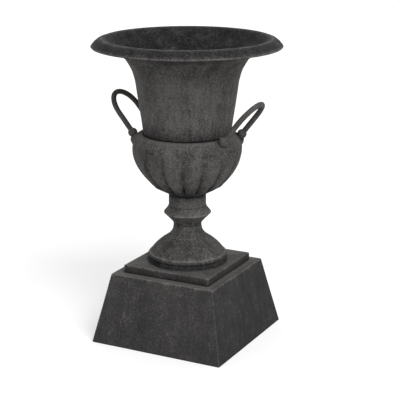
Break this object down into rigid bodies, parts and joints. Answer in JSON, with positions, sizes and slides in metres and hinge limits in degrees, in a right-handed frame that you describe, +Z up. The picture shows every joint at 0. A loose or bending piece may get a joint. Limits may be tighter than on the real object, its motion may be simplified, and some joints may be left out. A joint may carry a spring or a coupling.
{
  "type": "urn planter",
  "caption": "Classical footed garden urn with a flared rim, lobed bowl and two upright loop handles, on a tapered square plinth.",
  "frame": {"origin": "middle of the plinth's underside, on the ground", "axes": "+Z up along the urn's axis; the plinth's faces look along X and Y; the handles stand at +X and -X"},
  "size_m": [0.4999, 0.5, 0.812],
  "materials": {
    "cast_plinth": "dark charcoal grey, fine mottled matt cast finish, edges worn lighter",
    "cast_urn": "dark charcoal grey, fine mottled matt cast finish, edges worn lighter",
    "cast_handles": "dark charcoal grey, slightly smoother than the body",
    "zinc_fasteners": "dull zinc plating",
    "drain_brass": "dull tarnished brass",
    "seal_rubber": "matt black"
  },
  "bodies": {
    "root": {"plinth": "cast_plinth", "base_slab": "cast_plinth", "pedestal_foot": "cast_urn", "stem_knop": "cast_urn", "stem_collar": "cast_urn", "lobed_bowl": "cast_urn", "upper_body": "cast_urn", "rim_ring": "cast_urn", "handle_right": "cast_handles", "handle_left": "cast_handles", "slab_screws": "zinc_fasteners", "slab_washers": "zinc_fasteners", "rim_screws": "zinc_fasteners", "body_bolts": "zinc_fasteners", "body_washers": "zinc_fasteners", "body_nuts": "zinc_fasteners", "handle_studs": "zinc_fasteners", "handle_washers": "zinc_fasteners", "handle_nuts": "zinc_fasteners", "tie_tube": "zinc_fasteners", "tie_washer": "zinc_fasteners", "tie_nut": "zinc_fasteners", "drain_flange": "drain_brass", "drain_strainer": "drain_brass", "drain_seal": "seal_rubber", "handle_ball_right_a": "cast_handles", "handle_boss_right_a": "cast_urn", "handle_ball_right_b": "cast_handles", "handle_boss_right_b": "cast_urn", "handle_ball_left_a": "cast_handles", "handle_boss_left_a": "cast_urn", "handle_ball_left_b": "cast_handles", "handle_boss_left_b": "cast_urn"}
  },
  "joints": []
}
